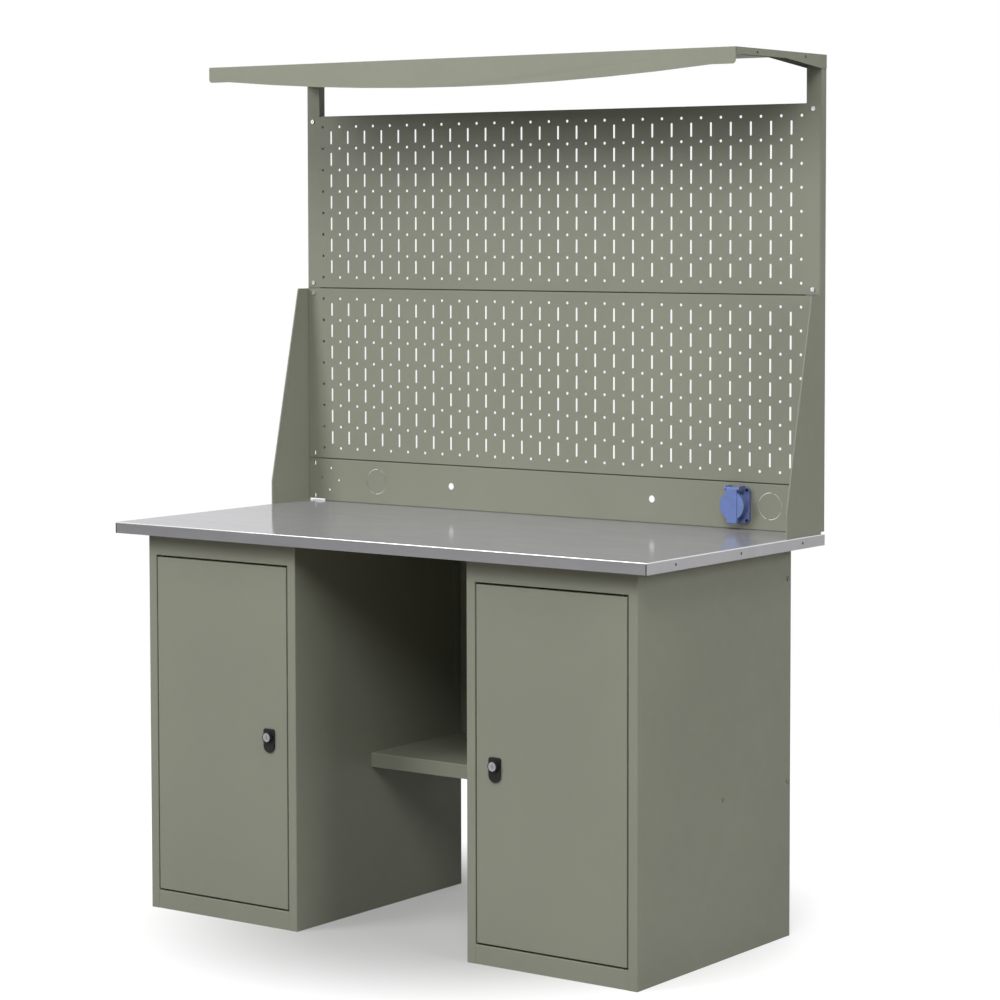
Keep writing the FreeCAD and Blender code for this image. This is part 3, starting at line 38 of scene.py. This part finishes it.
def noise(tree, place, scale, detail, stretch=(1.0, 1.0, 1.0)):
    mapping = tree.nodes.new("ShaderNodeMapping")
    mapping.inputs["Scale"].default_value = stretch
    tree.links.new(place, mapping.inputs["Vector"])
    texture = tree.nodes.new("ShaderNodeTexNoise")
    texture.inputs["Scale"].default_value = scale
    texture.inputs["Detail"].default_value = detail
    tree.links.new(mapping.outputs["Vector"], texture.inputs["Vector"])
    return texture.outputs["Fac"]


def ranged(tree, value, start, end, low=0.0, high=1.0, easing="LINEAR"):
    span = tree.nodes.new("ShaderNodeMapRange")
    span.interpolation_type = easing
    span.inputs["From Min"].default_value = start
    span.inputs["From Max"].default_value = end
    span.inputs["To Min"].default_value = low
    span.inputs["To Max"].default_value = high
    tree.links.new(value, span.inputs["Value"])
    return span.outputs["Result"]


def between(tree, value, low, high, socket):
    tree.links.new(ranged(tree, value, NOISE_LOW, NOISE_HIGH, low, high), socket)


def tinted(tree, value, dark, light, socket):
    ramp = tree.nodes.new("ShaderNodeValToRGB")
    ramp.color_ramp.elements[0].position = NOISE_LOW
    ramp.color_ramp.elements[0].color = (*dark, 1.0)
    ramp.color_ramp.elements[1].position = NOISE_HIGH
    ramp.color_ramp.elements[1].color = (*light, 1.0)
    tree.links.new(value, ramp.inputs["Fac"])
    tree.links.new(ramp.outputs["Color"], socket)


def relief(tree, value, depth, socket, under=None):
    bump = tree.nodes.new("ShaderNodeBump")
    bump.inputs["Distance"].default_value = depth
    tree.links.new(value, bump.inputs["Height"])
    if under is not None:
        tree.links.new(under, bump.inputs["Normal"])
    tree.links.new(bump.outputs["Normal"], socket)
    return bump.outputs["Normal"]


def dress(name, *named):
    for piece in named:
        pieces[piece].data.materials.clear()
        pieces[piece].data.materials.append(finishes[name])


def both(*names):
    return [side + name for side in ("left_", "right_") for name in names]


def powder_coat(name):
    tree, surface, place = shader(name)
    tinted(tree, noise(tree, place, 2.6, 3.0), OLIVE_DARK, OLIVE_LIGHT, surface.inputs["Base Color"])
    surface.inputs["Specular IOR Level"].default_value = 0.35
    between(tree, noise(tree, place, 38.0, 2.0), 0.52, 0.62, surface.inputs["Roughness"])
    sway = relief(tree, noise(tree, place, 4.0, 1.0), 0.0012, surface.inputs["Normal"])
    relief(tree, noise(tree, place, 620.0, 2.0), 0.00006, surface.inputs["Normal"], sway)
    return tree, surface, place


powder_coat("carcass_paint")
dress("carcass_paint", *both("outer_side", "inner_side", "back", "top_panel", "floor_panel"))

# Doors. An outer pan and a liner of the same coated sheet, hung on blackened steel pins that turn
# in nylon bushes at the top and bottom of the outer edge.


def plated(name, dark, light, smooth, rough):
    tree, surface, place = shader(name)
    surface.inputs["Metallic"].default_value = 1.0
    tinted(tree, noise(tree, place, 240.0, 3.0), dark, light, surface.inputs["Base Color"])
    between(tree, noise(tree, place, 420.0, 2.0), smooth, rough, surface.inputs["Roughness"])
    relief(tree, noise(tree, place, 900.0, 2.0), 0.00004, surface.inputs["Normal"])


def moulded(name, dark, light, smooth, rough, grain=0.00004, gloss=0.3):
    tree, surface, place = shader(name)
    tinted(tree, noise(tree, place, 55.0, 3.0), dark, light, surface.inputs["Base Color"])
    surface.inputs["Specular IOR Level"].default_value = gloss
    between(tree, noise(tree, place, 160.0, 2.0), smooth, rough, surface.inputs["Roughness"])
    relief(tree, noise(tree, place, 1100.0, 2.0), grain, surface.inputs["Normal"])


powder_coat("door_paint")
dress("door_paint", *both("door", "door_liner"))
plated("dark_steel", (0.025, 0.025, 0.027), (0.045, 0.045, 0.048), 0.36, 0.50)
dress("dark_steel", *both("hinge_pins"))
moulded("bush_nylon", (0.020, 0.020, 0.019), (0.034, 0.034, 0.032), 0.44, 0.56)
dress("bush_nylon", *both("hinge_bushes"))

# Locks. A black moulded housing clamped through the door by a zinc nut, with a chromed key cylinder
# that turns a zinc cam behind the frame. The moulding has softly broken edges.

LOCK_EDGE = 0.0007
SHARP_ANGLE = math.radians(40)


def break_edges(width, *named):
    for piece in named:
        soft = pieces[piece].modifiers.new("broken_edges", "BEVEL")
        soft.width = width
        soft.segments = 3
        soft.limit_method = "ANGLE"
        soft.angle_limit = SHARP_ANGLE


moulded("lock_black", (0.012, 0.012, 0.013), (0.020, 0.020, 0.021), 0.34, 0.46, 0.00005, 0.14)
dress("lock_black", *both("lock_housing"))
break_edges(LOCK_EDGE, *both("lock_housing"))
plated("key_chrome", (0.29, 0.29, 0.30), (0.37, 0.37, 0.38), 0.18, 0.28)
dress("key_chrome", *both("lock_cylinder"))
plated("zinc_plate", (0.50, 0.51, 0.52), (0.62, 0.63, 0.64), 0.28, 0.42)
dress("zinc_plate", *both("lock_nut", "lock_cam"))

# Inside of the pedestals. One folded shelf to each, laid on four small angles welded to the sides.
# Sheet and coat are those of the carcass.

dress("carcass_paint", *both("shelf", "shelf_brackets"))

# Knee space. A folded shelf tray is bolted between the pedestals, and a panel closes the back above
# it. The bolts on the outer sides are coated with the sheet, those in the knee space are zinc plated.

powder_coat("knee_paint")
dress("knee_paint", "knee_shelf", "knee_back_panel")
dress("zinc_plate", "knee_bolts")
dress("carcass_paint", "outer_side_bolts")

# Counter. A pressed board core wrapped on the top and the four edges by one folded cover of satin
# galvanised sheet, rolled along its length, with a painted highlight along its top edges where the
# rounded bends catch the light. The folds meet in a dark joint at each corner. Dark screws hold the
# ends, plated ones come up from below.

HIGHLIGHT_HALF = 0.0012
HIGHLIGHT_FADE = 0.0016
PAINTED_EDGE_HIGHLIGHT = (0.82, 0.82, 0.83)
JOINT_INSET = 0.0026
JOINT_HALF = 0.0008
JOINT_FADE = 0.0005
JOINT_SKIN = 0.0003
JOINT_HEAD = 0.0035
JOINT_DARK = (0.01, 0.01, 0.01)


def extent(piece):
    return [(min(run), max(run)) for run in zip(*pieces[piece].bound_box)]


def worked(tree, operation, *values):
    step = tree.nodes.new("ShaderNodeMath")
    step.operation = operation
    for spot, value in enumerate(values):
        if isinstance(value, float):
            step.inputs[spot].default_value = value
        else:
            tree.links.new(value, step.inputs[spot])
    return step.outputs["Value"]


def band(tree, value, centre, half, fade):
    away = worked(tree, "ABSOLUTE", worked(tree, "SUBTRACT", value, centre))
    return ranged(tree, away, half + fade, half)


def crossed(tree, first, *others):
    for other in others:
        first = worked(tree, "MULTIPLY", first, other)
    return first


def split(tree, place):
    axes = tree.nodes.new("ShaderNodeSeparateXYZ")
    tree.links.new(place, axes.inputs["Vector"])
    return axes.outputs["X"], axes.outputs["Y"], axes.outputs["Z"]


def overlaid(tree, mask, colour, socket):
    layer = tree.nodes.new("ShaderNodeMix")
    layer.data_type = "RGBA"
    slots = {slot.identifier: slot for slot in (*layer.inputs, *layer.outputs)}
    tree.links.new(mask, slots["Factor_Float"])
    tree.links.new(socket.links[0].from_socket, slots["A_Color"])
    slots["B_Color"].default_value = (*colour, 1.0)
    tree.links.new(slots["Result_Color"], socket)


tree, surface, place = shader("counter_steel")
surface.inputs["Metallic"].default_value = 0.54
surface.inputs["Specular IOR Level"].default_value = 0.0
tinted(tree, noise(tree, place, 30.0, 4.0, (0.25, 1.0, 1.0)), (0.395, 0.395, 0.41), (0.425, 0.425, 0.44),
       surface.inputs["Base Color"])
x, y, z = split(tree, place)
aside = worked(tree, "ABSOLUTE", x)
astern = worked(tree, "ABSOLUTE", y)
cover_side, cover_back, cover_top = [high for low, high in extent("counter_cover")]
# Painted highlight: a bright band in the base colour along the cover's top edges, standing in for light
# caught by the rounded bends.
crest = band(tree, z, cover_top, HIGHLIGHT_HALF, HIGHLIGHT_FADE)
rim = worked(tree, "MAXIMUM", band(tree, aside, cover_side, HIGHLIGHT_HALF, HIGHLIGHT_FADE),
             band(tree, astern, cover_back, HIGHLIGHT_HALF, HIGHLIGHT_FADE))
overlaid(tree, crossed(tree, crest, rim), PAINTED_EDGE_HIGHLIGHT, surface.inputs["Base Color"])
joint = crossed(tree, band(tree, aside, cover_side - JOINT_INSET, JOINT_HALF, JOINT_FADE),
                band(tree, astern, cover_back, JOINT_SKIN, JOINT_SKIN),
                worked(tree, "LESS_THAN", z, cover_top - JOINT_HEAD))
overlaid(tree, joint, JOINT_DARK, surface.inputs["Base Color"])
between(tree, noise(tree, place, 260.0, 3.0, (0.06, 1.0, 1.0)), 0.08, 0.12, surface.inputs["Roughness"])
sway = relief(tree, noise(tree, place, 3.4, 1.0), 0.0006, surface.inputs["Normal"])
relief(tree, noise(tree, place, 700.0, 2.0, (0.05, 1.0, 1.0)), 0.000004, surface.inputs["Normal"], sway)
dress("counter_steel", "counter_cover")

tree, surface, place = shader("pressed_board")
surface.inputs["Roughness"].default_value = 0.8
tinted(tree, noise(tree, place, 260.0, 5.0, (0.35, 1.0, 1.0)), (0.28, 0.18, 0.09), (0.52, 0.38, 0.22),
       surface.inputs["Base Color"])
relief(tree, noise(tree, place, 420.0, 4.0), 0.0002, surface.inputs["Normal"])
dress("pressed_board", "counter_core")

dress("dark_steel", "counter_edge_screws")
dress("zinc_plate", "counter_fixing_screws")

# Screen frame. Two folded channel uprights stand on the counter, each closed outside by a cheek with
# a slanting hemmed front edge. All of it is coated like the pedestals.

powder_coat("frame_paint")
dress("frame_paint", *both("upright", "cheek"))

# Pegboards and socket panel. Flat punched sheets with folded flanges, bolted to one another along the
# seams and screwed to the uprights. The punched edges carry the coat, and a painted shade darkens the
# seam lines on the front faces.

SEAM_HALF = 0.0006
SEAM_FADE = 0.0012
SEAM_DEPTH = 0.003
SEAM_DEPTH_FADE = 0.001
PAINTED_SEAM_SHADE = (0.035, 0.036, 0.028)

tree, surface, place = powder_coat("board_paint")
x, y, z = split(tree, place)
# Painted shade: a dark line in the base colour along the board seams on their front faces, standing in
# for the shaded groove where the folded edges meet.
seams = [band(tree, z, extent(board)[2][0], SEAM_HALF, SEAM_FADE)
         for board in ("upper_pegboard", "lower_pegboard")]
faced = band(tree, y, extent("lower_pegboard")[1][0], SEAM_DEPTH, SEAM_DEPTH_FADE)
seam = crossed(tree, worked(tree, "MAXIMUM", *seams), faced)
overlaid(tree, seam, PAINTED_SEAM_SHADE, surface.inputs["Base Color"])
dress("board_paint", "upper_pegboard", "lower_pegboard", "socket_panel")
dress("zinc_plate", "panel_screws", "seam_bolts", "socket_panel_screws", "hex_nuts")

# Canopy. One folded sheet with a curved front lip and tapered ends, screwed down on two arms that are
# bolted to the uprights.

powder_coat("canopy_paint")
dress("canopy_paint", "canopy_sheet", *both("canopy_arm"))
dress("dark_steel", "canopy_screws")
dress("zinc_plate", "arm_bolts")

# Panel socket. A blue moulded housing with a square flange and a round collar, a dark contact insert
# deep inside, and a paler hinged lid that a spring holds shut on a steel pin.

SOCKET_EDGE = 0.0008

moulded("socket_blue", (0.135, 0.175, 0.385), (0.155, 0.2, 0.435), 0.34, 0.44)
dress("socket_blue", "socket_housing")
moulded("lid_blue", (0.12, 0.174, 0.395), (0.138, 0.2, 0.445), 0.32, 0.42)
dress("lid_blue", "socket_lid")
break_edges(SOCKET_EDGE, "socket_housing", "socket_lid")
moulded("insert_dark", (0.030, 0.031, 0.034), (0.046, 0.047, 0.050), 0.42, 0.54)
dress("insert_dark", "socket_insert")
dress("dark_steel", "socket_screws")
dress("zinc_plate", "socket_lid_pin")

# Studio. A plain pale floor that runs out into a white surround and keeps the bench's own shadow, with
# painted shade added near the bench, lit by broad soft lamps in front to the left and right, weaker ones
# overhead, at the right side and behind.

FLOOR_REACH = 30.0
WHITE = (1.0, 1.0, 1.0, 1.0)
LAMP_TARGET = Vector((0.0, 0.0, 0.9))

floor_mesh = bpy.data.meshes.new("floor")
corners = [(-FLOOR_REACH, -FLOOR_REACH, 0.0), (FLOOR_REACH, -FLOOR_REACH, 0.0),
           (FLOOR_REACH, FLOOR_REACH, 0.0), (-FLOOR_REACH, FLOOR_REACH, 0.0)]
floor_mesh.from_pydata(corners, [], [(0, 1, 2, 3)])
floor = bpy.data.objects.new("floor", floor_mesh)
bpy.context.scene.collection.objects.link(floor)

tree, surface, place = shader("floor_white")
surface.inputs["Roughness"].default_value = 0.9
surface.inputs["Specular IOR Level"].default_value = 0.1
tinted(tree, noise(tree, place, 1.5, 3.0), (0.29, 0.29, 0.29), (0.31, 0.31, 0.31),
       surface.inputs["Base Color"])
ray = tree.nodes.new("ShaderNodeLightPath").outputs
x, y, z = split(tree, place)
# In reflections the floor's glow fades out between one and six metres in front of the bench, which
# paints a darker reflection into the counter's front edge.
mirrored = worked(tree, "MULTIPLY", ray["Is Glossy Ray"], ranged(tree, y, -6.0, -1.0))
seen = worked(tree, "MAXIMUM", ray["Is Camera Ray"], mirrored)
radius = tree.nodes.new("ShaderNodeVectorMath")
radius.operation = "LENGTH"
tree.links.new(place, radius.inputs[0])
reach = radius.outputs["Value"]
# The floor's glow is weaker within about 0.9 m of the bench's centre, which paints shade around and
# under the bench on top of its real shadow.
floor_glow_and_painted_shade = worked(tree, "MULTIPLY", seen, ranged(tree, reach, 0.3, 0.9, 0.24, 0.84, "SMOOTHSTEP"))
surface.inputs["Emission Color"].default_value = WHITE
tree.links.new(floor_glow_and_painted_shade, surface.inputs["Emission Strength"])
fade = worked(tree, "MULTIPLY", ray["Is Camera Ray"], ranged(tree, reach, 1.3, 3.2, easing="SMOOTHSTEP"))
white = tree.nodes.new("ShaderNodeEmission")
white.inputs["Color"].default_value = WHITE
blend = tree.nodes.new("ShaderNodeMixShader")
tree.links.new(fade, blend.inputs["Fac"])
tree.links.new(surface.outputs["BSDF"], blend.inputs[1])
tree.links.new(white.outputs["Emission"], blend.inputs[2])
tree.links.new(blend.outputs["Shader"], tree.nodes["Material Output"].inputs["Surface"])
floor_mesh.materials.append(finishes["floor_white"])

world = bpy.data.worlds.new("studio")
bpy.context.scene.world = world
world.use_nodes = True
sky = world.node_tree
ambient = sky.nodes["Background"]
ambient.inputs["Color"].default_value = WHITE
ambient.inputs["Strength"].default_value = 0.03
surround = sky.nodes.new("ShaderNodeBackground")
surround.inputs["Color"].default_value = WHITE
surround.inputs["Strength"].default_value = 1.0
ray = sky.nodes.new("ShaderNodeLightPath").outputs
direct = worked(sky, "MAXIMUM", ray["Is Camera Ray"], ray["Is Glossy Ray"])
shown = sky.nodes.new("ShaderNodeMixShader")
sky.links.new(worked(sky, "MAXIMUM", direct, ray["Is Transmission Ray"]), shown.inputs["Fac"])
sky.links.new(ambient.outputs["Background"], shown.inputs[1])
sky.links.new(surround.outputs["Background"], shown.inputs[2])
sky.links.new(shown.outputs["Shader"], sky.nodes["World Output"].inputs["Surface"])


def soft_lamp(name, place, size, power):
    lamp = bpy.data.lights.new(name, "AREA")
    lamp.shape = "SQUARE"
    lamp.size = size
    lamp.energy = power
    stand = bpy.data.objects.new(name, lamp)
    stand.location = place
    stand.rotation_euler = (LAMP_TARGET - Vector(place)).to_track_quat("-Z", "Y").to_euler()
    bpy.context.scene.collection.objects.link(stand)


soft_lamp("right_lamp", (3.1, -5.3, 5.4), 3.0, 290.0)
soft_lamp("left_lamp", (-3.5, -5.5, 4.0), 3.0, 285.0)
soft_lamp("side_lamp", (6.0, -0.8, 3.0), 2.4, 145.0)
soft_lamp("top_lamp", (0.0, -1.6, 7.0), 4.0, 160.0)
soft_lamp("back_lamp", (-2.2, 5.0, 3.4), 3.0, 110.0)

# Viewpoint. A long lens at eye height, in front of the bench and to its right, a little above the
# counter.

DOWNWARD_TILT = 0.061255
TURN = 0.610959

lens = bpy.data.cameras.new("viewpoint")
lens.sensor_width = 36.0
lens.lens = 107.1521
lens.shift_x = -0.08546
lens.shift_y = -0.09
lens.clip_end = 200.0
viewpoint = bpy.data.objects.new("viewpoint", lens)
viewpoint.location = (3.85644, -5.04966, 1.4939)
viewpoint.rotation_euler = (math.pi / 2 - DOWNWARD_TILT, 0.0, TURN)
bpy.context.scene.collection.objects.link(viewpoint)
bpy.context.scene.camera = viewpoint
bpy.context.scene.view_settings.view_transform = "Standard"
